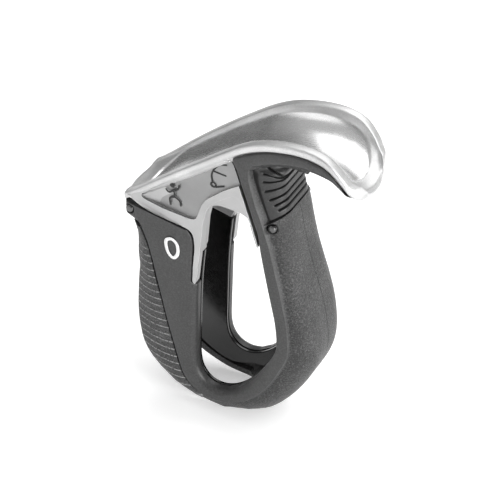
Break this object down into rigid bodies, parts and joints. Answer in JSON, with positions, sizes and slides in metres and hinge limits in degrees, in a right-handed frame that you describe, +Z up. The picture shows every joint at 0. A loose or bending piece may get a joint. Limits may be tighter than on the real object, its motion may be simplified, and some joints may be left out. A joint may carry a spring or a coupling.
{
  "type": "belay device",
  "caption": "Assisted-braking belay device: two side plates with a rope slot and carabiner window, under a polished steel rope channel that ends in a hooked thumb horn.",
  "frame": {"origin": "centre of the carabiner window, on the mid-plane between the two side plates", "axes": "+X from the climber-side nose towards the thumb horn, +Y across the two plates, away from the near plate, +Z up, towards the rope channel"},
  "size_m": [0.0602, 0.0212, 0.0846],
  "materials": {
    "polished_steel": "polished floor, blasted rims",
    "pin_steel": "satin",
    "matte_nylon": "fine grained, matte",
    "gloss_nylon": "smooth, glossy",
    "grip_rubber": "ridged, matte"
  },
  "bodies": {
    "root": {"brake_channel": "polished_steel", "near_shell": "matte_nylon", "far_shell": "matte_nylon", "near_liner": "gloss_nylon", "far_liner": "gloss_nylon", "near_grip": "grip_rubber", "far_grip": "grip_rubber", "thumb_rest": "grip_rubber", "near_tip_pin": "pin_steel", "far_tip_pin": "pin_steel", "near_spine_pin": "pin_steel", "far_spine_pin": "pin_steel"}
  },
  "joints": []
}
